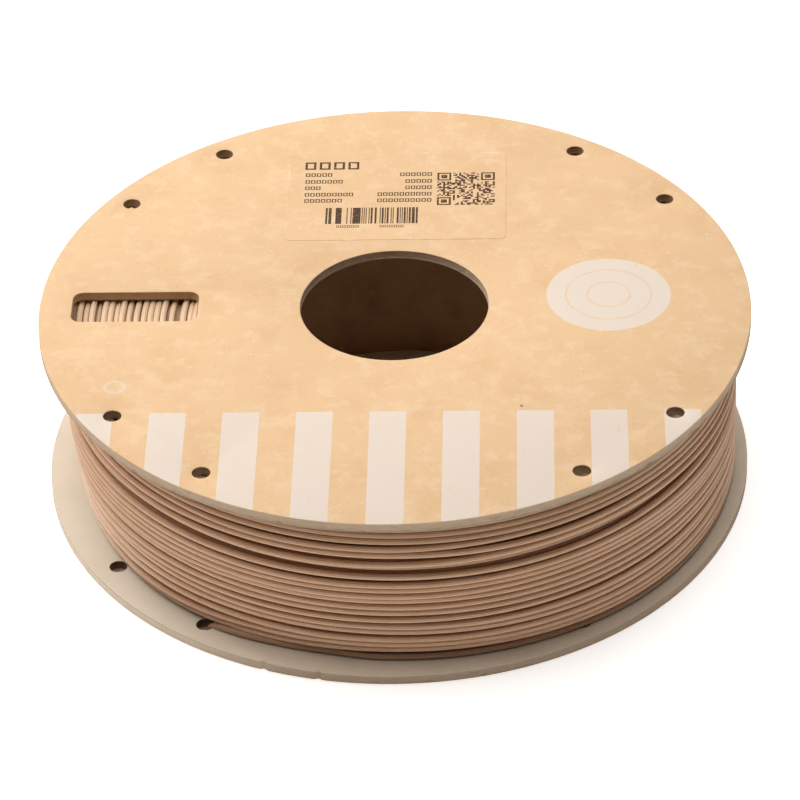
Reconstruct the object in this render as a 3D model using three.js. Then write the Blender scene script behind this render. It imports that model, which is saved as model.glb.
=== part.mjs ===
// A cardboard filament spool, full of 1.75 mm filament.
// Millimetres, +Z up along the spool's axis, origin at the centre of the underside.
// The winding window lies on the -X side and the product label on the +Y side.
import * as THREE from 'three';

// Flanges: a chipboard disc with a paper liner glued to each face.
const FLANGE_RADIUS = 100;
const SPOOL_HEIGHT = 55;
const BOARD_THICKNESS = 2.25;
const LINER_THICKNESS = 0.25;
const BORE_RADIUS = 26.5;

// Rim holes, for parking the filament's free end: one each side of each diagonal.
const RIM_HOLE_RADIUS = 2.5;
const RIM_HOLE_PITCH_RADIUS = 93;
const RIM_HOLE_OFF_DIAGONAL = THREE.MathUtils.degToRad(11.25);
const DIAGONALS = [45, 135, 225, 315].map(THREE.MathUtils.degToRad);

// The top flange's holes beside this diagonal are punched a little out of place.
const MISPUNCHED_DIAGONAL = DIAGONALS[2];
const MISPUNCH = new THREE.Vector2(1.5, 0.4);
const IN_PLACE = new THREE.Vector2(0, 0);

// Winding window: a radial slot that shows how much filament is left.
const WINDOW_LENGTH = 35.6;
const WINDOW_WIDTH = 14.2;
const WINDOW_CORNER_RADIUS = 3;
const WINDOW_CENTRE_X = -73;

// Core: a spiral-wound paper tube, glued by its ends between the flanges.
const CORE_INNER_RADIUS = 50;
const CORE_WALL = 3;

// Winding: the last layers lie loose, so its outside stands further out on the +X side.
const FILAMENT_DIAMETER = 1.75;
const TURNS_ACROSS = 28;
const WINDING_RADIUS = 93.4;
const WINDING_OFFSET_X = 2;
const WINDING_TO_CORE_GAP = 0.3;

// Product label: a kraft paper sticker on the outside of the top flange.
const LABEL_WIDTH = 63.5;
const LABEL_HEIGHT = 45;
const LABEL_THICKNESS = 0.1;
const LABEL_CORNER_RADIUS = 1.5;
const LABEL_CENTRE = new THREE.Vector2(-0.4, 54.5);

// Sides of each round outline, and line steps in each rounded corner.
const RIM_SIDES = 96;
const BORE_SIDES = 48;
const RIM_HOLE_SIDES = 12;
const CORNER_STEPS = 4;

const FLANGE_THICKNESS = BOARD_THICKNESS + 2 * LINER_THICKNESS;
const CORE_OUTER_RADIUS = CORE_INNER_RADIUS + CORE_WALL;
const CORE_LENGTH = SPOOL_HEIGHT - 2 * FLANGE_THICKNESS;
const WINDING_HEIGHT = TURNS_ACROSS * FILAMENT_DIAMETER;

const spool = new THREE.Group();

function material(color, roughness, metalness = 0) {
  return new THREE.MeshStandardMaterial({ color, roughness, metalness });
}

function addMesh(name, geometry, finish, z = 0) {
  const mesh = new THREE.Mesh(geometry, finish);
  mesh.name = name;
  mesh.position.z = z;
  spool.add(mesh);
}

function circlePoints(radius, sides, centreX = 0, centreY = 0) {
  const points = [];
  for (let side = 0; side < sides; side += 1) {
    const angle = (2 * Math.PI * side) / sides;
    points.push(new THREE.Vector2(
      centreX + radius * Math.cos(angle),
      centreY + radius * Math.sin(angle),
    ));
  }
  return points;
}

function roundedRectanglePoints(width, height, radius, centreX, centreY) {
  const points = [];
  const reachX = width / 2 - radius;
  const reachY = height / 2 - radius;
  const corners = [[1, 1], [-1, 1], [-1, -1], [1, -1]];
  corners.forEach(([signX, signY], quadrant) => {
    for (let step = 0; step <= CORNER_STEPS; step += 1) {
      const angle = (Math.PI / 2) * (quadrant + step / CORNER_STEPS);
      points.push(new THREE.Vector2(
        centreX + signX * reachX + radius * Math.cos(angle),
        centreY + signY * reachY + radius * Math.sin(angle),
      ));
    }
  });
  return points;
}

function extrude(outline, holes, depth) {
  const shape = new THREE.Shape(outline);
  shape.holes = holes.map((points) => new THREE.Path(points));
  return new THREE.ExtrudeGeometry(shape, { depth, bevelEnabled: false });
}

// Every layer of a flange is cut by the same die, so they share one outline.
function flangeLayer(thickness, mispunch) {
  const holes = [
    circlePoints(BORE_RADIUS, BORE_SIDES),
    roundedRectanglePoints(WINDOW_LENGTH, WINDOW_WIDTH, WINDOW_CORNER_RADIUS, WINDOW_CENTRE_X, 0),
  ];
  for (const diagonal of DIAGONALS) {
    for (const side of [-1, 1]) {
      const angle = diagonal + side * RIM_HOLE_OFF_DIAGONAL;
      const shift = diagonal === MISPUNCHED_DIAGONAL ? mispunch : IN_PLACE;
      const x = RIM_HOLE_PITCH_RADIUS * Math.cos(angle) + shift.x;
      const y = RIM_HOLE_PITCH_RADIUS * Math.sin(angle) + shift.y;
      holes.push(circlePoints(RIM_HOLE_RADIUS, RIM_HOLE_SIDES, x, y));
    }
  }
  return extrude(circlePoints(FLANGE_RADIUS, RIM_SIDES), holes, thickness);
}

// Flanges, each listed from its lowest layer up.
const kraftPaper = () => material(0xe8bf8c, 0.85);
const palePaper = () => material(0xcfc0aa, 0.9);
const chipboard = () => material(0x9a8468, 0.95);
const topFlangeZ = SPOOL_HEIGHT - FLANGE_THICKNESS;

addMesh('bottom_flange_outer_liner', flangeLayer(LINER_THICKNESS, IN_PLACE), kraftPaper());
addMesh('bottom_flange_board', flangeLayer(BOARD_THICKNESS, IN_PLACE), chipboard(), LINER_THICKNESS);
addMesh('bottom_flange_inner_liner', flangeLayer(LINER_THICKNESS, IN_PLACE), palePaper(),
  LINER_THICKNESS + BOARD_THICKNESS);
addMesh('top_flange_inner_liner', flangeLayer(LINER_THICKNESS, MISPUNCH), palePaper(), topFlangeZ);
addMesh('top_flange_board', flangeLayer(BOARD_THICKNESS, MISPUNCH), chipboard(),
  topFlangeZ + LINER_THICKNESS);
addMesh('top_flange_outer_liner', flangeLayer(LINER_THICKNESS, MISPUNCH), kraftPaper(),
  SPOOL_HEIGHT - LINER_THICKNESS);

// Core tube, standing between the inner liners.
addMesh('core_tube', extrude(
  circlePoints(CORE_OUTER_RADIUS, BORE_SIDES),
  [circlePoints(CORE_INNER_RADIUS, BORE_SIDES)],
  CORE_LENGTH,
), material(0x6f5a45, 0.9), FLANGE_THICKNESS);

// Filament: the whole winding as one ring, round the core and a little off it.
addMesh('filament_winding', extrude(
  circlePoints(WINDING_RADIUS, RIM_SIDES, WINDING_OFFSET_X),
  [circlePoints(CORE_OUTER_RADIUS + WINDING_TO_CORE_GAP, BORE_SIDES)],
  WINDING_HEIGHT,
), material(0xa67c5d, 0.7), (SPOOL_HEIGHT - WINDING_HEIGHT) / 2);

addMesh('product_label', extrude(
  roundedRectanglePoints(LABEL_WIDTH, LABEL_HEIGHT, LABEL_CORNER_RADIUS,
    LABEL_CENTRE.x, LABEL_CENTRE.y),
  [],
  LABEL_THICKNESS,
), material(0xebc592, 0.8), SPOOL_HEIGHT);

export default spool;
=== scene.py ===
import math

import bpy
import numpy as np
from mathutils import Matrix, Vector
from mathutils.geometry import delaunay_2d_cdt


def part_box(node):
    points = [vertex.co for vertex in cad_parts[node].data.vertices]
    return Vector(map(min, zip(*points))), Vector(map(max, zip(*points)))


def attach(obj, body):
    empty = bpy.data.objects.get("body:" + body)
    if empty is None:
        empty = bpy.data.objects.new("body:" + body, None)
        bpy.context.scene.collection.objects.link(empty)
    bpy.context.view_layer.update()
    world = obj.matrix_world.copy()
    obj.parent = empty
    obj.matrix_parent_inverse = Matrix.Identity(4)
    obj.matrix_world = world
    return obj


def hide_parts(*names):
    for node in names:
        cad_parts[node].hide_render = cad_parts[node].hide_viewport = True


# The looks of a cardboard filament spool. Lengths are in millimetres and angles in degrees, in the
# frame of the CAD model: +Z up along the spool's axis, origin at the centre of the underside. Meshes,
# lights and the camera turn them into metres as they are made.

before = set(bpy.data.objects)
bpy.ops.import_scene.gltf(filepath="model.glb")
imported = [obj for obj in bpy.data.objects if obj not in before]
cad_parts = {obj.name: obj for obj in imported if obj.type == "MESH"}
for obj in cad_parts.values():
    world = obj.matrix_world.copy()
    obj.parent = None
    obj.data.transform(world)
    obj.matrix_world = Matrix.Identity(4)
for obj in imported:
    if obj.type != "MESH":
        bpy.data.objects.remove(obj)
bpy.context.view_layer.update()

MM = 0.001


def heights(node):
    """The lowest and highest point of a CAD node."""
    low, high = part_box(node)
    return low.z / MM, high.z / MM


# The spool's axis, seen from above.
AXIS = (0.0, 0.0)

# Flanges
SPOOL_HEIGHT = 55.0
FLANGE_THICKNESS = 2.75
RIM_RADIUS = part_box("top_flange_board")[1].x / MM
BORE_RADIUS = 26.5
RIM_HOLE_RADIUS = 2.5
RIM_HOLE_PITCH_RADIUS = 93.0
RIM_HOLE_ANGLES = [diagonal + side for diagonal in (45, 135, 225, 315) for side in (-11.25, 11.25)]
SHIFTED_PAIR = 225
PAIR_SHIFT = (1.5, 0.4)
WINDOW_CENTRE = (-73.0, 0.0)
WINDOW_SIZE = (35.6, 14.2)
WINDOW_CORNER = 3.0
BURRED_HOLE_ANGLE = 146.25
# Nicks in the bottom flange's rim: (angle, depth).
NICKS = [(249.5, 0.5), (258.5, 0.45)]
NICK_HALF_WIDTH = 0.4

# Core
CORE_INNER_RADIUS = 50.0
CORE_OUTER_RADIUS = 53.0

# Winding
STRAND = 1.75
WINDING_LOW, WINDING_HIGH = heights("filament_winding")
WINDING_OFFSET = 3.0
WINDING_TOP_OFFSET = 1.9
OUTER_RADIUS = 91.5
UNDER_RADIUS = 89.95
BODY_RADIUS = 88.3
WINDING_INNER_RADIUS = 53.3
BELLY_BULGE = 2.3
BELLY_SHIFT = -0.8
TOP_SLIP = (-1.7, 2.3)
TAIL_HOLE_ANGLE = 236.25
TAIL_START_ANGLE = 258.0

# Print on the top flange
STRIPE_PITCH = 20.0
STRIPE_WIDTH = 10.0
STRIPE_START = -5.7
STRIPE_INNER_END = -50.2
DISC_CENTRE = (60.2, 4.0)
DISC_RADIUS = 17.5
DISC_LINE_RADII = [6.0, 12.0]
SMALL_RING_CENTRE = (-76.2, -38.2)
SMALL_RING_RADIUS = 2.6
SPECK_CENTRE = (35.6, -48.2)
SPECK_RADIUS = 0.45

# Label
LABEL_CENTRE = (-0.4, 54.5)
LABEL_SIZE = (63.5, 45.0)
LABEL_CORNER = 1.5


# ---------------------------------------------------------------- geometry

def polar(radius, angle):
    """Points at these radii and angles about the axis."""
    turn = np.radians(angle)
    return np.stack([radius * np.cos(turn), radius * np.sin(turn)], axis=-1)


def circle(radius, count, centre=(0.0, 0.0)):
    """An anticlockwise circle of points."""
    return polar(np.full(count, radius), np.arange(count) * 360 / count) + np.array(centre)


def rounded_rectangle(centre, size, corner, spacing):
    """An anticlockwise outline with round corners, its points about spacing apart."""
    half = np.array(size) / 2 - corner
    arc_steps = max(4, round(corner * math.pi / 2 / spacing))
    points = []
    for quadrant, (side_x, side_y) in enumerate([(1, 1), (-1, 1), (-1, -1), (1, -1)]):
        middle = np.array([side_x * half[0], side_y * half[1]]) + np.array(centre)
        arc = 90 * quadrant + np.linspace(0, 90, arc_steps + 1)
        points.extend(middle + polar(np.full(arc_steps + 1, corner), arc))
    dense = []
    for here, there in zip(points, points[1:] + points[:1]):
        steps = max(1, round(np.linalg.norm(there - here) / spacing))
        dense.extend(here + (there - here) * step / steps for step in range(steps))
    return np.array(dense)


def ripple(count, waves, rng):
    """A smooth random closed curve of about that many waves, with a spread of 1."""
    spectrum = np.fft.rfft(rng.normal(size=count))
    spectrum *= np.exp(-(np.arange(len(spectrum)) / waves) ** 2)
    curve = np.fft.irfft(spectrum, count)
    return curve / curve.std()


def into_material(loop):
    """The unit directions to the left of the loop, which is where the material is."""
    ahead = np.roll(loop, -1, axis=0) - np.roll(loop, 1, axis=0)
    ahead /= np.linalg.norm(ahead, axis=1, keepdims=True)
    return np.stack([-ahead[:, 1], ahead[:, 0]], axis=1)


def contains(loop, points):
    """Which of the points are inside the loop."""
    here_x, here_y = loop[:, :1], loop[:, 1:]
    next_x, next_y = np.roll(here_x, -1), np.roll(here_y, -1)
    x, y = points[:, 0], points[:, 1]
    spans = (here_y > y) != (next_y > y)
    rise = np.where(next_y == here_y, 1.0, next_y - here_y)
    crossings = spans & (x < here_x + (next_x - here_x) * (y - here_y) / rise)
    return crossings.sum(axis=0) % 2 == 1


def plate(loops, edge, fray=0.0, seed=0):
    """A flat plate. loops are its outline, anticlockwise, then its openings, clockwise. edge is the
    profile of its cut edges, from bottom to top: (how far into the material, height). fray is how far
    the fibres between the two ends of the edge fall back."""
    rng = np.random.default_rng(seed)
    rows = len(edge)
    vertices, faces, first_of_loop = [], [], []
    total = 0
    for loop in loops:
        count = len(loop)
        inward = into_material(loop)
        first_of_loop.append(total)
        coarse = np.abs(ripple(count, count / 6, rng))
        for row, (inset, height) in enumerate(edge):
            inside = 0 < row < rows - 1
            fine = np.abs(ripple(count, count / 2, rng))
            depth = inset + (fray * 0.5 * (coarse + fine) if inside else 0.0)
            ring = loop + inward * np.reshape(depth * np.ones(count), (count, 1))
            vertices.append(np.column_stack([ring, np.full(count, height)]))
        here = np.arange(count)
        after = np.roll(here, -1)
        for row in range(rows - 1):
            low = total + row * count
            high = low + count
            faces.extend(zip(low + here, low + after, high + after, high + here))
        total += rows * count
    flat = np.concatenate(loops)
    edges, top_index, bottom_index = [], [], []
    start = 0
    for loop, first in zip(loops, first_of_loop):
        count = len(loop)
        edges.extend((start + i, start + (i + 1) % count) for i in range(count))
        bottom_index.extend(range(first, first + count))
        top_index.extend(range(first + (rows - 1) * count, first + rows * count))
        start += count
    points = [Vector((float(x), float(y))) for x, y in flat]
    _, _, triangles, originals, _, _ = delaunay_2d_cdt(points, edges, [], 1, 1e-6)
    corners = np.array([[originals[i][0] for i in triangle] for triangle in triangles])
    middles = flat[corners].mean(axis=1)
    for opening in loops[1:]:
        kept = ~contains(opening, middles)
        corners, middles = corners[kept], middles[kept]
    faces.extend(tuple(top_index[i] for i in triangle) for triangle in corners)
    faces.extend(tuple(bottom_index[i] for i in reversed(triangle)) for triangle in corners)
    return np.concatenate(vertices), faces


def grid_faces(rows, columns, closed_rows=False, closed_columns=True, flip=False):
    """Quads over a grid of vertices numbered row by row."""
    row_count = rows if closed_rows else rows - 1
    column_count = columns if closed_columns else columns - 1
    faces = []
    for row in range(row_count):
        low = row * columns
        high = ((row + 1) % rows) * columns
        for column in range(column_count):
            after = (column + 1) % columns
            face = (low + column, low + after, high + after, high + column)
            faces.append(face[::-1] if flip else face)
    return faces


def lathe(profile, steps, centre_of=None, flip=False):
    """A closed ring swept from a closed profile of (radius, height). centre_of gives each circle's
    centre from its radius and height."""
    angles = np.arange(steps) * 360 / steps
    rings = []
    for radius, height in profile:
        ring = polar(np.full(steps, radius), angles)
        if centre_of is not None:
            ring += centre_of(radius, height)
        rings.append(np.column_stack([ring, np.full(steps, height)]))
    return np.concatenate(rings), grid_faces(len(profile), steps, closed_rows=True, flip=flip)


def strand_tube(path, outward, radius, sides):
    """A round strand along path, with closed ends. outward is roughly away from the spool's axis."""
    tangent = np.gradient(path, axis=0)
    tangent /= np.linalg.norm(tangent, axis=1, keepdims=True)
    side = outward - tangent * np.sum(outward * tangent, axis=1, keepdims=True)
    side /= np.linalg.norm(side, axis=1, keepdims=True)
    up = np.cross(tangent, side)
    turn = np.arange(sides) * 2 * math.pi / sides
    cosine, sine = np.cos(turn)[None, :, None], np.sin(turn)[None, :, None]
    ring = side[:, None, :] * cosine + up[:, None, :] * sine
    vertices = (path[:, None, :] + radius * ring).reshape(-1, 3)
    count = len(path)
    faces = grid_faces(count, sides)
    faces.append(tuple(range(sides))[::-1])
    faces.append(tuple(range((count - 1) * sides, count * sides)))
    return vertices, faces


def add_piece(name, shape, material, replaced=(), sharp_angle=35):
    """A piece of the spool, from vertices in millimetres and faces."""
    vertices, faces = shape
    mesh = bpy.data.meshes.new(name)
    mesh.from_pydata((np.asarray(vertices) * MM).tolist(), [], [tuple(map(int, f)) for f in faces])
    mesh.validate()
    mesh.shade_smooth()
    mesh.set_sharp_from_angle(angle=math.radians(sharp_angle))
    mesh.materials.append(material)
    piece = bpy.data.objects.new(name, mesh)
    bpy.context.scene.collection.objects.link(piece)
    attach(piece, "root")
    if replaced:
        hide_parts(*replaced)
    return piece


# ---------------------------------------------------------------- materials

def srgb(red, green, blue):
    """A colour picked as 0 to 255 on screen, as the linear colour that shaders take."""
    parts = [channel / 255 for channel in (red, green, blue)]
    linear = [c / 12.92 if c <= 0.04045 else ((c + 0.055) / 1.055) ** 2.4 for c in parts]
    return (*linear, 1.0)


class Field:
    """A number that varies over a surface, as a socket in its node tree."""

    def __init__(self, tree, socket):
        self.tree = tree
        self.socket = socket

    def math(self, operation, *others, clamp=False):
        node = self.tree.nodes.new("ShaderNodeMath")
        node.operation = operation
        node.use_clamp = clamp
        for slot, value in zip(node.inputs, (self, *others)):
            if isinstance(value, Field):
                self.tree.links.new(value.socket, slot)
            else:
                slot.default_value = value
        return Field(self.tree, node.outputs[0])

    def __add__(self, other):
        return self.math("ADD", other)

    def __sub__(self, other):
        return self.math("SUBTRACT", other)

    def __mul__(self, other):
        return self.math("MULTIPLY", other)

    def __truediv__(self, other):
        return self.math("DIVIDE", other)

    def __gt__(self, other):
        return self.math("GREATER_THAN", other)

    def __lt__(self, other):
        return self.math("LESS_THAN", other)

    def __abs__(self):
        return self.math("ABSOLUTE")

    def floor(self):
        return self.math("FLOOR")

    def larger(self, other):
        return self.math("MAXIMUM", other)

    def smaller(self, other):
        return self.math("MINIMUM", other)

    def squared(self):
        return self.math("MULTIPLY", self)

    def root(self):
        return self.math("SQRT")

    def inverse(self):
        """1 minus this field."""
        return (self * -1.0) + 1.0

    def repeat(self, period):
        """How far past the last multiple of period this field is."""
        return self.math("FLOORED_MODULO", period)

    def ramp(self, low, high):
        """0 below low, 1 above high and a smooth rise in between."""
        node = self.tree.nodes.new("ShaderNodeMapRange")
        node.interpolation_type = "SMOOTHSTEP"
        self.tree.links.new(self.socket, node.inputs["Value"])
        node.inputs["From Min"].default_value = low
        node.inputs["From Max"].default_value = high
        return Field(self.tree, node.outputs["Result"])


class Surface:
    """A Principled material, with fields over its piece in millimetres."""

    def __init__(self, name, colour, roughness, specular=0.3):
        self.material = bpy.data.materials.new(name)
        self.material.use_nodes = True
        self.tree = self.material.node_tree
        self.shader = self.tree.nodes["Principled BSDF"]
        self.shader.inputs["Specular IOR Level"].default_value = specular
        self.shader.inputs["Roughness"].default_value = roughness
        self.shader.inputs["Base Color"].default_value = colour
        self.colour = colour
        place = self.tree.nodes.new("ShaderNodeTexCoord").outputs["Object"]
        self.place = self.vector("SCALE", place, Scale=1 / MM)
        split = self.tree.nodes.new("ShaderNodeSeparateXYZ")
        self.tree.links.new(self.place, split.inputs[0])
        self.x, self.y, self.z = (Field(self.tree, output) for output in split.outputs)

    def vector(self, operation, first, second=None, **values):
        node = self.tree.nodes.new("ShaderNodeVectorMath")
        node.operation = operation
        self.tree.links.new(first, node.inputs[0])
        if second is not None:
            node.inputs[1].default_value = second
        for name, value in values.items():
            node.inputs[name].default_value = value
        return node.outputs[0]

    def noise(self, size, detail=2.0, stretch=(1, 1, 1), shift=0.0):
        """Smooth noise around 0.5, its features about size across, and longer by stretch."""
        scaled = self.vector("DIVIDE", self.place, tuple(size * along for along in stretch))
        moved = self.vector("ADD", scaled, (shift, shift * 1.7, shift * 2.3))
        node = self.tree.nodes.new("ShaderNodeTexNoise")
        node.inputs["Scale"].default_value = 1.0
        node.inputs["Detail"].default_value = detail
        self.tree.links.new(moved, node.inputs["Vector"])
        return Field(self.tree, node.outputs["Fac"])

    def cell_noise(self, across, up):
        """A random number, the same all over each whole-number cell of these two fields."""
        joined = self.tree.nodes.new("ShaderNodeCombineXYZ")
        self.tree.links.new(across.floor().socket, joined.inputs[0])
        self.tree.links.new(up.floor().socket, joined.inputs[1])
        node = self.tree.nodes.new("ShaderNodeTexWhiteNoise")
        node.noise_dimensions = "2D"
        self.tree.links.new(joined.outputs[0], node.inputs["Vector"])
        return Field(self.tree, node.outputs["Value"])

    def tint(self, colour, amount):
        """Mixes another colour into the surface by a field from 0 to 1."""
        node = self.tree.nodes.new("ShaderNodeMix")
        node.data_type = "RGBA"
        first, second = node.inputs[6], node.inputs[7]
        if isinstance(self.colour, tuple):
            first.default_value = self.colour
        else:
            self.tree.links.new(self.colour, first)
        second.default_value = colour
        self.tree.links.new(amount.socket, node.inputs[0])
        self.colour = node.outputs[2]
        self.tree.links.new(self.colour, self.shader.inputs["Base Color"])

    def roughness(self, field):
        self.tree.links.new(field.socket, self.shader.inputs["Roughness"])

    def bump(self, field, depth):
        """Raises the surface by field times depth."""
        node = self.tree.nodes.new("ShaderNodeBump")
        node.inputs["Distance"].default_value = depth * MM
        self.tree.links.new(field.socket, node.inputs["Height"])
        self.tree.links.new(node.outputs[0], self.shader.inputs["Normal"])

    def rectangle(self, low_x, high_x, low_y, high_y):
        """1 inside a rectangle and 0 outside it."""
        return (self.x > low_x) * (self.x < high_x) * (self.y > low_y) * (self.y < high_y)

    def distance_to(self, centre):
        return ((self.x - centre[0]).squared() + (self.y - centre[1]).squared()).root()


KRAFT = srgb(227, 189, 146)
KRAFT_DARK = srgb(212, 169, 122)
KRAFT_LIGHT = srgb(236, 205, 168)
KRAFT_SPECK = srgb(176, 128, 84)
DARK_SPECK = srgb(120, 80, 50)
RIM_EDGE = srgb(194, 168, 141)
LOW_RIM_EDGE = srgb(172, 152, 130)
LOW_RIM_PALE = srgb(226, 208, 184)
CUT_EDGE = srgb(228, 194, 161)
CUT_EDGE_DARK = srgb(140, 116, 94)
CUT_FIBRE = srgb(212, 194, 168)
INSIDE_EDGE = srgb(182, 150, 112)
WINDOW_EDGE = srgb(198, 166, 128)
HOLE_SHADE = srgb(104, 76, 52)
PALE_INK = srgb(226, 211, 197)
DARK_INK = srgb(64, 40, 24)
LABEL_LIFTED = srgb(252, 238, 218)
LINER = srgb(224, 212, 193)
LINER_CLOUD = srgb(206, 192, 171)
LINER_FIBRE = srgb(234, 225, 209)
LINER_SPECK = srgb(150, 128, 100)
LINER_PALE = srgb(246, 235, 216)
CORE = srgb(173, 135, 99)
CORE_CLOUD = srgb(142, 107, 76)
CORE_FIBRE = srgb(194, 156, 118)
FILAMENT = srgb(209, 168, 136)
FILAMENT_STREAK = srgb(184, 144, 110)
FILAMENT_GRAIN = srgb(236, 204, 172)
FILAMENT_SPECK = srgb(140, 102, 72)
FILAMENT_AT_WINDOW = srgb(236, 208, 172)
FILAMENT_PALE = srgb(240, 212, 184)
CREVICE = srgb(118, 84, 56)
FLOOR = srgb(244, 243, 240)
FLOOR_CLOUD = srgb(238, 236, 232)


def mottle_kraft(surface):
    """Clouds, fibres and specks of kraft paper. Returns the fibres."""
    clouds = surface.noise(12, detail=3)
    surface.tint(KRAFT_DARK, clouds.ramp(0.4, 0.75) * 0.33)
    patches = surface.noise(4.5, detail=2, shift=11)
    surface.tint(KRAFT_LIGHT, patches.ramp(0.48, 0.72) * 0.45)
    flecks = surface.noise(0.8, detail=1, stretch=(2.2, 1, 1), shift=19)
    surface.tint(KRAFT_LIGHT, flecks.ramp(0.66, 0.78) * 0.7)
    fibres = surface.noise(0.7, detail=2, stretch=(1, 3, 1), shift=23)
    surface.tint(KRAFT_DARK, fibres.ramp(0.6, 0.8) * 0.4)
    specks = surface.noise(0.9, detail=1, shift=37)
    surface.tint(KRAFT_SPECK, specks.ramp(0.78, 0.84) * 0.6)
    return fibres


def kraft_paper(name):
    surface = Surface(name, KRAFT, 0.82)
    fibres = mottle_kraft(surface)
    surface.bump(surface.noise(0.35, detail=3) + fibres * 0.5, 0.03)
    surface.roughness(fibres * 0.15 + 0.74)
    return surface


def printed_kraft(top):
    """Kraft paper with pale print: stripes towards -Y, a ringed disc and a small ring."""
    surface = kraft_paper("printed_kraft_paper")
    rough_edge = (surface.noise(0.6, detail=2, shift=5) - 0.5) * 0.5
    stripe_place = (surface.x + rough_edge - STRIPE_START).repeat(STRIPE_PITCH)
    stripes = (stripe_place < STRIPE_WIDTH) * ((surface.y + rough_edge) < STRIPE_INNER_END)
    disc_place = surface.distance_to(DISC_CENTRE)
    disc = disc_place < DISC_RADIUS
    for radius in DISC_LINE_RADII:
        disc = disc * ((abs(disc_place - radius) < 0.3) * -0.55 + 1.0)
    small_place = surface.distance_to(SMALL_RING_CENTRE)
    small_ring = abs(small_place - SMALL_RING_RADIUS) < 0.5
    print_mask = stripes.larger(disc).larger(small_ring * 0.5)
    worn = surface.noise(1.6, detail=3, stretch=(1, 3, 1), shift=3).ramp(0.12, 0.36)
    surface.tint(PALE_INK, print_mask * worn * 0.9)
    surface.tint(DARK_SPECK, (surface.distance_to(SPECK_CENTRE) < SPECK_RADIUS) * 0.8)
    surface.tint(RIM_EDGE, (surface.z < top - 0.12) * 1.0)
    return surface.material


def pale_liner(name):
    """Pale paper with fibres and specks, with painted light making it a little paler towards -X."""
    surface = Surface(name, LINER, 0.85)
    surface.tint(LINER_CLOUD, surface.noise(16, detail=3).ramp(0.4, 0.8) * 0.5)
    fibres = surface.noise(0.8, detail=3, stretch=(3, 1, 1), shift=9)
    surface.tint(LINER_FIBRE, fibres.ramp(0.5, 0.8) * 0.5)
    surface.tint(LINER_SPECK, surface.noise(0.9, detail=1, shift=17).ramp(0.72, 0.82) * 0.6)
    # Painted light: the paper is painted paler towards -X.
    surface.tint(LINER_PALE, (surface.x * -1.0).ramp(0.0, 75.0) * 0.38)
    from_middle = abs(surface.z - SPOOL_HEIGHT / 2)
    cut = from_middle > SPOOL_HEIGHT / 2 - FLANGE_THICKNESS + 0.02
    from_axis = surface.distance_to(AXIS)
    # Painted shade: the cut edges are painted in the bottom rim edge's darker colour.
    surface.tint(LOW_RIM_EDGE, cut * 1.0)
    # Painted shade: the cut edges in the rim holes are painted darker still.
    in_holes = (from_axis > CORE_INNER_RADIUS) * (from_axis < RIM_RADIUS - 2.0)
    surface.tint(HOLE_SHADE, cut * in_holes * 0.8)
    surface.bump(surface.noise(0.4, detail=3) + fibres * 0.5, 0.03)
    return surface.material


def chipboard():
    """The board's furry cut edges: at the rim, in the bore, and in the window and rim holes, with
    painted shade in the window, the rim holes and on the bottom rim.
    """
    surface = Surface("chipboard", CUT_EDGE, 0.9)
    from_axis = surface.distance_to(AXIS)
    at_rim = from_axis > RIM_RADIUS - 1.0
    off_rim = from_axis < RIM_RADIUS - 2.0
    surface.tint(RIM_EDGE, at_rim)
    plies = surface.noise(0.28, detail=2, stretch=(12, 12, 1), shift=4)
    surface.tint(CUT_EDGE_DARK, plies.ramp(0.5, 0.8) * 0.45)
    fibres = surface.noise(0.8, detail=3, stretch=(3, 3, 1))
    surface.tint(CUT_FIBRE, fibres.ramp(0.55, 0.8) * 0.5)
    # Painted shade: the walls of the rim holes and the window are painted darker than the bore's, the
    # window's a little less so.
    surface.tint(INSIDE_EDGE, (from_axis > CORE_INNER_RADIUS) * off_rim)
    at_window = (abs(surface.y) < WINDOW_SIZE[1] / 2 + 1.0) * (surface.x < -CORE_INNER_RADIUS)
    surface.tint(WINDOW_EDGE, at_window * off_rim)
    # Painted shade: the rim holes towards -Y are painted darker still inside.
    surface.tint(HOLE_SHADE, off_rim * (surface.y * -1.0).ramp(36.0, 50.0) * 0.7)
    # Painted shade and light: the bottom flange's rim edge is painted darker, and paler towards -X,
    # where the light falls on it.
    low_rim = at_rim * (surface.z < FLANGE_THICKNESS)
    surface.tint(LOW_RIM_EDGE, low_rim * 0.9)
    surface.tint(LOW_RIM_PALE, low_rim * (surface.x * -1.0).ramp(10.0, 80.0) * 0.9)
    surface.bump(plies + surface.noise(0.3, detail=2), 0.08)
    return surface.material


def core_board():
    """The core's brown board, with clouds and fibres."""
    surface = Surface("core_board", CORE, 0.9)
    surface.tint(CORE_CLOUD, surface.noise(9, detail=4).ramp(0.4, 0.8) * 0.6)
    fibres = surface.noise(0.7, detail=2, stretch=(3, 3, 1))
    surface.tint(CORE_FIBRE, fibres.ramp(0.55, 0.8) * 0.5)
    surface.bump(surface.noise(0.5, detail=3), 0.04)
    return surface.material


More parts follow.
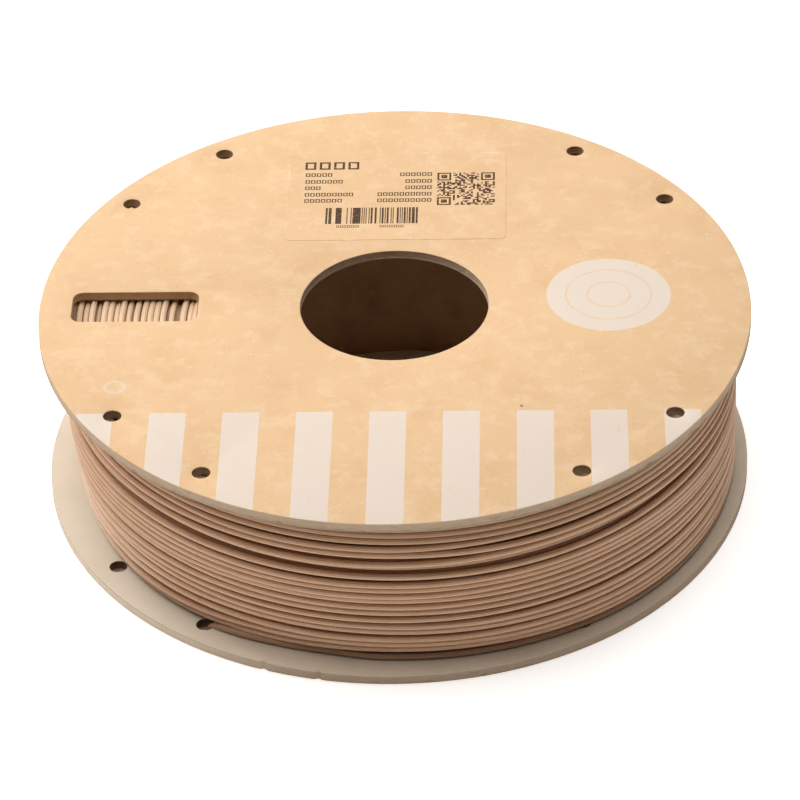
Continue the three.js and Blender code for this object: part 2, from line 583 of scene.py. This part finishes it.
def wood_filament():
    """Fibrous filament, with painted shade between the turns that show and under the top flange, and
    painted light that makes it paler in the windows, low down towards -X and a little towards +X."""
    surface = Surface("wood_filament", FILAMENT, 0.72, specular=0.35)
    upwards = (surface.z - WINDING_LOW) / (WINDING_HIGH - WINDING_LOW)
    axis_x = upwards * (WINDING_TOP_OFFSET - WINDING_OFFSET) + WINDING_OFFSET
    half = (WINDING_HIGH - WINDING_LOW) / 2
    bulged = ((surface.z - SPOOL_HEIGHT / 2) / half).squared().inverse()
    axis_x = axis_x + bulged * BELLY_SHIFT
    from_axis = ((surface.x - axis_x).squared() + surface.y.squared()).root() - bulged * BELLY_BULGE
    to_flange = abs(surface.z - SPOOL_HEIGHT / 2) * -1.0 + half
    streaks = surface.noise(0.55, detail=2, stretch=(14, 14, 1), shift=2)
    surface.tint(FILAMENT_STREAK, streaks.ramp(0.5, 0.8) * 0.5)
    grain = surface.noise(0.3, detail=2, stretch=(2.5, 2.5, 1), shift=8)
    surface.tint(FILAMENT_GRAIN, grain.ramp(0.55, 0.8) * 0.5)
    specks = surface.noise(0.45, detail=1, shift=31)
    surface.tint(FILAMENT_SPECK, specks.ramp(0.7, 0.82) * 0.6)
    # Painted light: the turns next to the flanges, inside the rim holes' circle, are painted paler where
    # they show in the window.
    at_flange = to_flange.ramp(1.9, 0.9)
    at_rim = surface.distance_to(AXIS).ramp(89.6, 90.4)
    at_window = at_flange * at_rim.inverse()
    surface.tint(FILAMENT_AT_WINDOW, at_window * 0.6)
    # Painted shade: the turns below those that show, the turns next to a flange under the rim holes, and
    # the turns high up under the top flange are painted darker.
    shown = from_axis.ramp(OUTER_RADIUS - 1.1, OUTER_RADIUS - 0.1).larger(at_window)
    surface.tint(CREVICE, (shown.inverse() * 0.45).larger(at_flange * at_rim * 0.5))
    surface.tint(CREVICE, upwards.ramp(0.68, 0.9) * at_window.inverse() * 0.42)
    # Painted light: the low turns towards -X are painted paler, and the turns towards +X a little paler.
    low_left = upwards.ramp(0.5, 0.1) * (surface.x * -1.0).ramp(55.0, 88.0)
    surface.tint(FILAMENT_PALE, low_left * 0.55)
    at_right = surface.x.ramp(45.0, 85.0) * at_window.inverse()
    surface.tint(FILAMENT_PALE, at_right * 0.18)
    surface.bump(grain + surface.noise(0.2, detail=2) * 0.6, 0.05)
    surface.roughness(grain * 0.25 + 0.58)
    return surface.material


# ---------------------------------------------------------------- flanges

def opening_loops(top, burred):
    """The bore, the rim holes and the winding window, clockwise. One pair of the top flange's holes is
    punched a little out of place, and one hole of its printed liner has a burr."""
    sides = 48
    loops = [circle(BORE_RADIUS, 360)]
    for angle in RIM_HOLE_ANGLES:
        centre = polar(RIM_HOLE_PITCH_RADIUS, angle)
        if top and abs(angle - SHIFTED_PAIR) < 45:
            centre = centre + np.array(PAIR_SHIFT)
        hole = circle(RIM_HOLE_RADIUS, sides, centre)
        if burred and angle == BURRED_HOLE_ANGLE:
            around = np.arange(sides) * 360 / sides
            flap = 0.9 * np.exp(-(((around - 270) / 12) ** 2))
            hole = polar(RIM_HOLE_RADIUS - flap, around) + centre
        loops.append(hole)
    loops.append(rounded_rectangle(WINDOW_CENTRE, WINDOW_SIZE, WINDOW_CORNER, 0.5))
    return [loop[::-1] for loop in loops]


def flange_plate(node, edge_at, fray, seed, burred=False):
    """A disc with a flange's openings. edge_at lists (inset, share of the node's height)."""
    low, high = heights(node)
    edge = [(inset, low + share * (high - low)) for inset, share in edge_at]
    top = node.startswith("top")
    sides = 1440
    around = np.arange(sides) * 360 / sides
    reach = np.full(sides, RIM_RADIUS)
    if not top:
        for angle, depth in NICKS:
            reach -= depth * np.exp(-(((around - angle) / NICK_HALF_WIDTH) ** 2))
    loops = [polar(reach, around)] + opening_loops(top, burred)
    return plate(loops, edge, fray, seed)


# Cut edges, from bottom to top. The die rolls the outer liner over and leaves the board furry.
OUTER_EDGE_UP = [(0.02, 0.0), (0.0, 0.25), (0.03, 0.6), (0.1, 0.85), (0.25, 1.0)]
OUTER_EDGE_DOWN = [(inset, 1 - share) for inset, share in reversed(OUTER_EDGE_UP)]
INNER_EDGE = [(0.0, 0.0), (0.0, 0.5), (0.0, 1.0)]
BOARD_EDGE = [(0.02, row / 9) for row in range(10)]


def add_flanges():
    """Three layers to a flange, each piece named like its node without the word flange."""
    top = heights("top_flange_outer_liner")[1]
    board = chipboard()
    pale = pale_liner("pale_paper")
    plain = kraft_paper("kraft_paper")
    # Painted shade: the bottom liner's cut edge at the rim is painted dark, as a contact shadow where it
    # meets the floor.
    plain.tint(CUT_EDGE_DARK, (plain.distance_to(AXIS) > RIM_RADIUS - 0.3) * 0.8)
    printed = printed_kraft(top)
    layers = [
        ("top_outer_liner", OUTER_EDGE_UP, 0.0, printed, "printed_kraft_paper"),
        ("top_board", BOARD_EDGE, 0.12, board, "chipboard"),
        ("top_inner_liner", INNER_EDGE, 0.03, pale, "pale_paper"),
        ("bottom_inner_liner", INNER_EDGE, 0.03, pale, "pale_paper"),
        ("bottom_board", BOARD_EDGE, 0.12, board, "chipboard"),
        ("bottom_outer_liner", OUTER_EDGE_DOWN, 0.0, plain.material, "kraft_paper"),
    ]
    for seed, (name, edge, fray, material, slot) in enumerate(layers):
        node = name.replace("_", "_flange_", 1)
        shape = flange_plate(node, edge, fray, seed, burred=name == "top_outer_liner")
        add_piece(name, shape, material, [node])


# ---------------------------------------------------------------- core

def core_shape():
    """A tube with the narrow seams of its spiral winding on the inside."""
    low, high = heights("core_tube")
    steps, rows = 240, 120
    seam_lead = 120.0
    seam_depth, seam_half_width = 0.15, 0.7
    angle = np.arange(steps) * 360 / steps
    rings = []
    for height in np.linspace(low, high, rows):
        seam = (height / seam_lead + angle / 360) % 0.5
        dip = seam_depth * np.exp(-(((seam - 0.25) * seam_lead / seam_half_width) ** 2))
        rings.append(np.column_stack([polar(CORE_INNER_RADIUS + dip, angle), np.full(steps, height)]))
    for height in (high, low):
        rings.append(np.column_stack([circle(CORE_OUTER_RADIUS, steps), np.full(steps, height)]))
    return np.concatenate(rings), grid_faces(rows + 2, steps, closed_rows=True, flip=True)


# ---------------------------------------------------------------- winding

TURN_STEPS = 240

# How far apart neighbouring turns of the outermost layer lie at the front, from the bottom up.
OUTER_SPACING = [
    2.6, 2.05, 1.95, 2.25, 2.25, 2.65, 1.85, 2.6, 1.85, 2.0, 2.1,
    1.9, 2.55, 4.35, 2.45, 2.3, 2.3, 1.8, 1.85, 2.2, 1.8, 0.3,
]
LOWEST_TURN = 3.65
SHOWN_STRAND_RADIUS = 0.92
FRONT = 270.0

# The uppermost turns at the window, from the rim inwards: (X, how far down).
WINDOW_TURNS = [
    (-90.6, 0.6), (-88.9, 0.2), (-87.1, 0.9), (-85.4, 0.1), (-83.6, 1.0), (-82.0, 0.2), (-80.3, 0.3),
    (-78.4, 1.0), (-77.1, 0.1), (-75.1, 0.7), (-72.9, 0.2), (-70.9, 0.3), (-69.0, 0.2), (-67.2, 0.3),
    (-65.4, 0.1), (-63.0, 0.6), (-61.4, 2.0), (-59.6, 0.1), (-57.9, 0.9), (-56.2, 0.2), (-54.6, 0.4),
]


def ease(value, low, high):
    """0 below low, 1 above high and a smooth rise in between."""
    part = np.clip((value - low) / (high - low), 0, 1)
    return part * part * (3 - 2 * part)


def hump(around, middle, half_width):
    """1 at the middle angle, falling away smoothly either side."""
    return np.exp(-(((around - middle) / half_width) ** 2))


def belly(height):
    """1 at mid-height and 0 at the flanges."""
    half = (WINDING_HIGH - WINDING_LOW) / 2
    return np.clip(1 - ((height - SPOOL_HEIGHT / 2) / half) ** 2, 0, 1)


def centre_of_turn(radius, height):
    """The centre of a turn. Outer and lower turns lie further towards +X, and the uppermost turns of
    the outer layers have slipped towards +Y."""
    outwards = (radius - WINDING_INNER_RADIUS) / (OUTER_RADIUS - WINDING_INNER_RADIUS)
    upwards = (height - WINDING_LOW) / (WINDING_HIGH - WINDING_LOW)
    slipped = ease(height, WINDING_HIGH - 5.5, WINDING_HIGH - 2.0) * outwards ** 4
    x = outwards * (WINDING_OFFSET + (WINDING_TOP_OFFSET - WINDING_OFFSET) * upwards)
    x += BELLY_SHIFT * outwards ** 4 * belly(height)
    return np.stack([x + TOP_SLIP[0] * slipped, TOP_SLIP[1] * slipped], axis=-1)


def bulge(angle, height):
    """How far the outer turns bulge: at mid-height all round, low down either side of the tail hole,
    and high up at the back, under the rim holes."""
    around = angle % 360
    either_side = 0.9 * hump(around, 222, 18) + 1.0 * hump(around, 313, 30)
    low_down = ease(20 - height, 0, 14)
    at_back = ease(around, 0, 28) * ease(180 - around, 0, 28)
    high_up = ease(height, WINDING_HIGH - 3.5, WINDING_HIGH - 1.5)
    low_bulge = (0.2 + either_side) * low_down
    high_bulge = (0.9 + 1.6 * at_back) * high_up
    return BELLY_BULGE * belly(height) + low_bulge + high_bulge


def wander(count, length, rng):
    """A smooth random open curve that changes over about length samples, with a spread of 1."""
    knots = rng.normal(size=count // length + 4)
    at = np.arange(count) / length + 1
    whole = at.astype(int)
    part = at - whole
    smooth = part * part * (3 - 2 * part)
    return knots[whole] * (1 - smooth) + knots[whole + 1] * smooth


def spread(turns, least):
    """Pushes neighbouring turns apart where they lie closer than least."""
    for _ in range(30):
        overlap = np.clip(least - (turns[TURN_STEPS:] - turns[:-TURN_STEPS]), 0, None) / 2
        turns[TURN_STEPS:] += overlap
        turns[:-TURN_STEPS] -= overlap
    return turns


def smooth_along(values, width):
    """A moving average, weighted towards the middle."""
    kernel = np.hanning(2 * width + 3)[1:-1]
    padded = np.pad(values, width, mode="edge")
    return np.convolve(padded, kernel / kernel.sum(), mode="valid")


def under_layer():
    """Angles, heights and radii of the layer below the outermost, an even helix."""
    rng = np.random.default_rng(5)
    turns = 25
    count = turns * TURN_STEPS
    travel = np.arange(count) / TURN_STEPS
    low, high = WINDING_LOW + STRAND / 2, WINDING_HIGH - STRAND * 1.5
    height = high - travel * (high - low) / (turns - 0.5)
    height += 0.12 * wander(count, TURN_STEPS // 6, rng)
    height = np.clip(height, low, high)
    angle = travel * 360 + FRONT
    radius = UNDER_RADIUS + bulge(angle, height) + 0.12 * wander(count, TURN_STEPS // 5, rng)
    return angle, height, radius


def outer_layer(below):
    """The same for the outermost layer, from the filament's free end. Each turn rests on those below."""
    rng = np.random.default_rng(8)
    at_front = LOWEST_TURN + np.concatenate([[0], np.cumsum(OUTER_SPACING)])
    last = len(at_front) - 1
    lead = round((FRONT - TAIL_START_ANGLE) / 360 * TURN_STEPS)
    count = last * TURN_STEPS + lead + 1
    travel = (np.arange(count) - lead) / TURN_STEPS
    # The first two turns lie level as far as the tail hole and then step up over the tail. The others
    # step up at the back.
    near_tail = travel < 2
    step = ease(travel % 1, np.where(near_tail, 0.88, 0.2), np.where(near_tail, 0.98, 0.85))
    height = np.interp(np.floor(travel) + step, np.arange(last + 1), at_front)
    height = smooth_along(height, TURN_STEPS // 12)
    settling = np.clip(travel / 1.5, 0, 1)
    height += 0.34 * settling * wander(count, TURN_STEPS // 8, rng)
    height = spread(height, STRAND + 0.02)
    height = np.clip(height, LOWEST_TURN, WINDING_HIGH - STRAND / 2 + 0.1)
    below_height, below_radius = below[1], below[2]
    below_count = len(below_height) // TURN_STEPS
    grid_height = below_height.reshape(below_count, TURN_STEPS)
    grid_radius = below_radius.reshape(below_count, TURN_STEPS)
    column = (np.arange(count) - lead) % TURN_STEPS
    apart = np.clip(np.abs(height[:, None] - grid_height.T[column]), 0, STRAND)
    resting = grid_radius.T[column] + np.sqrt(STRAND ** 2 - apart ** 2)
    angle = travel * 360 + FRONT
    held = np.maximum(resting.max(axis=1), OUTER_RADIUS - 0.2 + bulge(angle, height))
    radius = smooth_along(held, 5) + 0.12 * wander(count, TURN_STEPS // 6, rng)
    return angle, height, radius


def layer_path(angle, height, radius):
    """The path of a layer's strand about its own centre, and the directions outwards."""
    flat = polar(radius, angle) + centre_of_turn(radius, height)
    outward = np.column_stack([polar(np.ones(len(angle)), angle), np.zeros(len(angle))])
    return np.column_stack([flat, height]), outward


# The filament's free end: degrees past the rim hole, distance from the spool's axis and height.
TAIL_STOPS = [
    (0.6, 92.3, 1.0),
    (0.75, 92.3, 1.7),
    (1.2, 92.4, 2.5),
    (2.2, 92.5, 3.15),
    (3.8, 92.5, 3.55),
    (6.0, 92.4, LOWEST_TURN),
    (9.0, 92.2, LOWEST_TURN),
    (13.5, 91.8, LOWEST_TURN),
    (18.0, 91.5, LOWEST_TURN),
]


def tail_path():
    """The filament's free end, from inside a rim hole back to the start of the outer layer."""
    return [(*polar(radius, TAIL_HOLE_ANGLE + past), height) for past, radius, height in TAIL_STOPS]


def resample(points, spacing):
    """A smooth curve through the points (Catmull-Rom), with points about spacing apart."""
    points = np.array(points)
    padded = np.concatenate([[2 * points[0] - points[1]], points, [2 * points[-1] - points[-2]]])
    curve = []
    for before, here, there, after in zip(padded, padded[1:], padded[2:], padded[3:]):
        steps = max(2, round(np.linalg.norm(there - here) / spacing))
        part = (np.arange(steps) / steps)[:, None]
        curve.append(0.5 * (2 * here + (there - before) * part
                            + (2 * before - 5 * here + 4 * there - after) * part ** 2
                            + (3 * here - before - 3 * there + after) * part ** 3))
    curve.append(points[-1:])
    return np.concatenate(curve)


def outer_shape(layer):
    """The outermost layer's strand, with its free end going into a rim hole."""
    path, _ = layer_path(*layer)
    # The tail takes over from the layer's first steps.
    joining, joined = 4, 8
    tail = resample(tail_path() + [tuple(path[joining]), tuple(path[joined])], 0.8)
    whole = np.concatenate([tail[:-1], path[joined:]])
    ways = np.column_stack([whole[:, :2], np.zeros(len(whole))])
    return strand_tube(whole, ways, SHOWN_STRAND_RADIUS, 10)


def spiral_shape(height_at, sink, past_window, seed):
    """The turns next to a flange: one turn of each layer, from the core outwards. The last one ends
    past_window degrees past the window."""
    rng = np.random.default_rng(seed)
    turns = np.array(WINDOW_TURNS[::-1])
    last = len(turns) - 1
    count = last * TURN_STEPS + round(past_window / 360 * TURN_STEPS)
    travel = np.arange(count) / TURN_STEPS
    reach = np.interp(travel, np.arange(last + 1), -turns[:, 0])
    radius = reach + centre_of_turn(reach, WINDING_HIGH)[:, 0]
    radius = spread(radius + 0.06 * wander(count, TURN_STEPS // 6, rng), STRAND - 0.1)
    depth = np.interp(travel, np.arange(last + 1), turns[:, 1])
    depth = np.clip(depth + 0.25 * wander(count, TURN_STEPS // 5, rng), 0, 2.2)
    angle = travel * 360 + 180
    height = height_at + sink * depth
    path, outward = layer_path(angle, height, radius)
    return strand_tube(path, outward, STRAND / 2, 10)


def ridges(start, end):
    """Points along a row of turns from start to end: (place along it, depth below the tops of the
    turns)."""
    count = round(abs(end - start) / STRAND)
    groove = STRAND / 2 * 0.8
    for turn in range(count):
        for part in (0.15, 0.38, 0.62, 0.85):
            place = start + (turn + part) * (end - start) / count
            yield place, groove * (1 - math.sin(math.pi * part))


def body_shape():
    """The rest of the winding: a ring whose ridges are the turns below those that show."""
    low, high = WINDING_LOW + STRAND * 0.9, WINDING_HIGH - STRAND * 0.9
    inner = WINDING_INNER_RADIUS
    profile = [(inner, low), (inner, high)]
    profile += [(radius, high - depth) for radius, depth in ridges(inner, BODY_RADIUS)]
    for height, depth in ridges(high, low):
        profile.append((BODY_RADIUS + BELLY_BULGE * belly(height) - depth, height))
    profile += [(radius, low + depth) for radius, depth in ridges(BODY_RADIUS, inner)]
    return lathe(profile, 180, centre_of_turn, flip=True)


def add_winding():
    """A closed body, the two outermost layers round it and a spiral of turns at each flange."""
    filament = wood_filament()
    below = under_layer()
    layer = outer_layer(below)
    under_path, under_outward = layer_path(*below)
    pieces = {
        "winding_body": body_shape(),
        "winding_under_layer": strand_tube(under_path, under_outward, STRAND / 2, 8),
        "winding_outer_layer": outer_shape(layer),
        "winding_top_turns": spiral_shape(WINDING_HIGH - STRAND / 2, -1, 12, 21),
        "winding_bottom_turns": spiral_shape(WINDING_LOW + STRAND / 2, 1, -180, 22),
    }
    for name, shape in pieces.items():
        add_piece(name, shape, filament, ["filament_winding"])


# ---------------------------------------------------------------- label

def label_material():
    """A kraft sticker with dark print: placeholder marks, bars and a block of random modules."""
    surface = kraft_paper("label_paper")

    def boxes(low_x, high_x, low_y, width, height, gap, line):
        """A row of small hollow boxes in place of lettering."""
        across = (surface.x - low_x).repeat(width + gap)
        inside = (across < width) * surface.rectangle(low_x, high_x, low_y, low_y + height)
        to_side = abs(across - width / 2) * -1.0 + width / 2
        to_end = abs(surface.y - (low_y + height / 2)) * -1.0 + height / 2
        return inside * (to_side.smaller(to_end) < line)

    # The heading, then the rows of small print.
    ink = boxes(-27.5, -11.7, 68.4, 3.2, 3.9, 1.0, 0.7)
    left, right = -27.2, 10.0
    letter_width, letter_height, letter_gap, stroke = 1.3, 1.8, 0.3, 0.34
    pitch = letter_width + letter_gap
    # The height of each row and its number of boxes at the left and at the right.
    rows = [(64.7, 5, 6), (61.1, 7, 5), (57.8, 3, 5), (54.4, 9, 10), (51.2, 7, 10)]
    for low_y, left_count, right_count in rows:
        for start, count in ((left, left_count), (right - right_count * pitch, right_count)):
            end = start + count * pitch
            ink = ink.larger(boxes(start, end, low_y, letter_width, letter_height, letter_gap, stroke))
    # Bars of random widths, with two short rows of boxes below them.
    bars_left, bars_right, bars_low, bars_high = -20.8, 6.2, 40.2, 48.4
    bar_width = 0.29
    bar_place = (surface.x - bars_left) / bar_width
    bars = surface.cell_noise(bar_place, surface.y * 0.0) > 0.5
    ink = ink.larger(bars * surface.rectangle(bars_left, bars_right, bars_low, bars_high))
    for low_x, high_x in ((-17.5, -11.0), (-5.0, 2.0)):
        ink = ink.larger(boxes(low_x, high_x, 38.2, 0.8, 1.2, 0.25, 0.2))
    # Random modules with a square mark in three corners.
    code_x, code_y = 11.3, 49.4
    code_size, modules = 16.8, 29
    module = code_size / modules
    across, up = (surface.x - code_x) / module, (surface.y - code_y) / module
    in_code = surface.rectangle(code_x, code_x + code_size, code_y, code_y + code_size)
    code = surface.cell_noise(across, up + 50.0) > 0.5
    for corner_x, corner_y in ((3.5, 3.5), (3.5, 25.5), (25.5, 25.5)):
        reach = abs(across - corner_x).larger(abs(up - corner_y))
        clear = reach < 4.5
        finder = (reach < 1.5).larger((reach < 3.5) * (reach > 2.5))
        code = code * clear.inverse() + finder
    ink = ink.larger(code * in_code)
    worn = surface.noise(0.5, detail=2, shift=3).ramp(0.25, 0.4)
    surface.tint(DARK_INK, ink * worn * 0.96)
    to_side = abs(surface.x - LABEL_CENTRE[0]) * -1.0 + LABEL_SIZE[0] / 2
    to_end = abs(surface.y - LABEL_CENTRE[1]) * -1.0 + LABEL_SIZE[1] / 2
    lifted = surface.noise(11, detail=2, shift=6).ramp(0.56, 0.64)
    surface.tint(LABEL_LIFTED, (to_side.smaller(to_end) < 0.25) * lifted * 0.6)
    return surface.material


def add_label():
    low, high = heights("product_label")
    outline = rounded_rectangle(LABEL_CENTRE, LABEL_SIZE, LABEL_CORNER, 1.0)
    edge = [(0.0, low), (0.0, low + 0.6 * (high - low)), (0.05, high)]
    shape = plate([outline], edge)
    add_piece("label", shape, label_material(), ["product_label"])


# ---------------------------------------------------------------- stage

CAMERA_PLACE = (39.17, -1031.76, 786.87)
CAMERA_AZIMUTH = -2.131
CAMERA_ELEVATION = 36.548
CAMERA_ROLL = -1.733
CAMERA_LENS = 202.68


def add_camera():
    azimuth, elevation, roll = (math.radians(a) for a in (CAMERA_AZIMUTH, CAMERA_ELEVATION, CAMERA_ROLL))
    ahead = Vector((math.sin(azimuth), math.cos(azimuth), 0.0))
    forward = ahead * math.cos(elevation) - Vector((0.0, 0.0, math.sin(elevation)))
    level = Vector((math.cos(azimuth), -math.sin(azimuth), 0.0))
    above = level.cross(forward)
    right = level * math.cos(roll) + above * math.sin(roll)
    up = above * math.cos(roll) - level * math.sin(roll)
    data = bpy.data.cameras.new("camera")
    data.sensor_width = 36.0
    data.lens = CAMERA_LENS
    data.clip_end = 20.0
    camera = bpy.data.objects.new("camera", data)
    camera.matrix_world = Matrix((right, up, -forward)).transposed().to_4x4()
    camera.location = Vector(CAMERA_PLACE) * MM
    bpy.context.scene.collection.objects.link(camera)
    bpy.context.scene.camera = camera


# Softboxes: name, place, width, height, power in watts. Each one faces the middle of the spool.
SOFTBOXES = [
    ("back_left", (-900, 900, 700), 700, 700, 9.7),
    ("left_high", (-900, 100, 900), 700, 700, 4.1),
    ("overhead", (0, 200, 1400), 1200, 1200, 17.8),
]
LIGHT_AIM = (0, 0, 40)
WORLD_STRENGTH = 0.05
FLOOR_GLOW = 0.55
FLOOR_RADIUS = 4000.0
FLOOR_GAP = 0.2


def add_lights():
    for name, place, width, height, power in SOFTBOXES:
        data = bpy.data.lights.new(name, "AREA")
        data.shape = "RECTANGLE"
        data.size = width * MM
        data.size_y = height * MM
        data.energy = power
        light = bpy.data.objects.new(name, data)
        light.location = Vector(place) * MM
        towards = (Vector(LIGHT_AIM) - Vector(place)).normalized()
        light.rotation_euler = towards.to_track_quat("-Z", "Y").to_euler()
        bpy.context.scene.collection.objects.link(light)
    world = bpy.data.worlds.new("studio")
    bpy.context.scene.world = world
    world.use_nodes = True
    background = world.node_tree.nodes["Background"]
    background.inputs["Color"].default_value = (1.0, 1.0, 1.0, 1.0)
    background.inputs["Strength"].default_value = WORLD_STRENGTH


def add_floor():
    surface = Surface("floor", FLOOR, 0.9, specular=0.1)
    surface.shader.inputs["Emission Color"].default_value = (1.0, 1.0, 1.0, 1.0)
    glow = surface.distance_to(AXIS).ramp(RIM_RADIUS - 6, RIM_RADIUS) * FLOOR_GLOW
    surface.tree.links.new(glow.socket, surface.shader.inputs["Emission Strength"])
    surface.tint(FLOOR_CLOUD, surface.noise(60, detail=2).ramp(0.4, 0.8) * 0.2)
    mesh = bpy.data.meshes.new("floor")
    sides = 64
    corners = circle(FLOOR_RADIUS, sides) * MM
    mesh.from_pydata([(x, y, 0.0) for x, y in corners], [], [tuple(range(sides))])
    mesh.materials.append(surface.material)
    floor = bpy.data.objects.new("floor", mesh)
    floor.location.z = -FLOOR_GAP * MM
    bpy.context.scene.collection.objects.link(floor)


# ---------------------------------------------------------------- the scene

bpy.context.scene.view_settings.view_transform = "Standard"
add_camera()
add_lights()
add_floor()
add_flanges()
add_piece("core", core_shape(), core_board(), ["core_tube"])
add_winding()
add_label()
